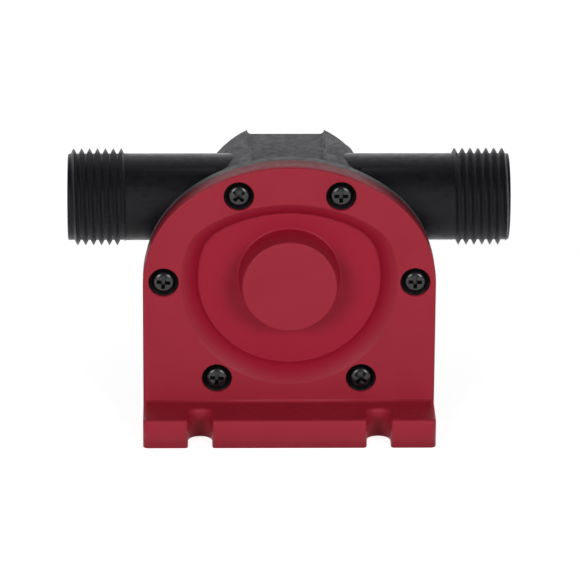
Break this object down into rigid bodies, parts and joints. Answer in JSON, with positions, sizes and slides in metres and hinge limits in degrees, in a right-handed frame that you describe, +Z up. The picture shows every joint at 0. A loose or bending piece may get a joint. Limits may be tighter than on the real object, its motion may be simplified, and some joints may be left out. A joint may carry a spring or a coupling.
{
  "type": "drill powered pump",
  "caption": "Drill powered water pump: arched cover with slotted foot, moulded body with in-line threaded hose ports, and a flexible impeller on a steel shaft turned by a drill.",
  "frame": {"origin": "on the plane the foot stands on, straight below the shaft axis, in the plane of the cover's front face", "axes": "+X along the hose ports, to the viewer's right when facing the cover; +Y along the shaft from the cover back to the drill; +Z up"},
  "size_m": [0.1228, 0.1057, 0.0774],
  "materials": {
    "cover_plastic": "fine satin moulding grain, crimson",
    "body_plastic": "fine satin moulding grain, black",
    "rubber": "smooth black rubber",
    "screw_steel": "black oxide with a light sheen",
    "shaft_steel": "ground steel",
    "bearing_steel": "polished bearing steel",
    "dark_steel": "phosphated spring steel",
    "bronze": "sintered bronze",
    "nylon": "natural nylon"
  },
  "bodies": {
    "housing": {"front_cover": "cover_plastic", "pump_body": "body_plastic", "cover_seal": "rubber", "cover_screws": "screw_steel", "front_bush": "bronze", "seal_case": "dark_steel", "seal_lip": "rubber", "seal_spring": "shaft_steel", "bearing_outer_rings": "bearing_steel", "bearing_shields": "rubber", "bearing_spacer": "bearing_steel", "bearing_retainer": "dark_steel"},
    "rotor": {"drive_shaft": "shaft_steel", "impeller": "rubber", "impeller_core": "nylon", "drive_pin": "shaft_steel", "water_slinger": "rubber", "bearing_inner_rings": "bearing_steel", "shaft_clips": "dark_steel"},
    "ball_sets": {"bearing_balls": "bearing_steel", "bearing_cages": "nylon"}
  },
  "joints": [
    {"name": "shaft_spin", "type": "hinge", "parent": "housing", "child": "rotor", "pos_m": [0, 0.03, 0.0438], "axis": [0, 1, 0], "continuous": true, "deforming": ["impeller"]},
    {"name": "ball_roll", "type": "hinge", "parent": "housing", "child": "ball_sets", "pos_m": [0, 0.05, 0.0438], "axis": [0, 1, 0], "continuous": true}
  ],
  "couplings": [
    {"joint": "ball_roll", "follows": "shaft_spin", "ratio": 0.368}
  ]
}
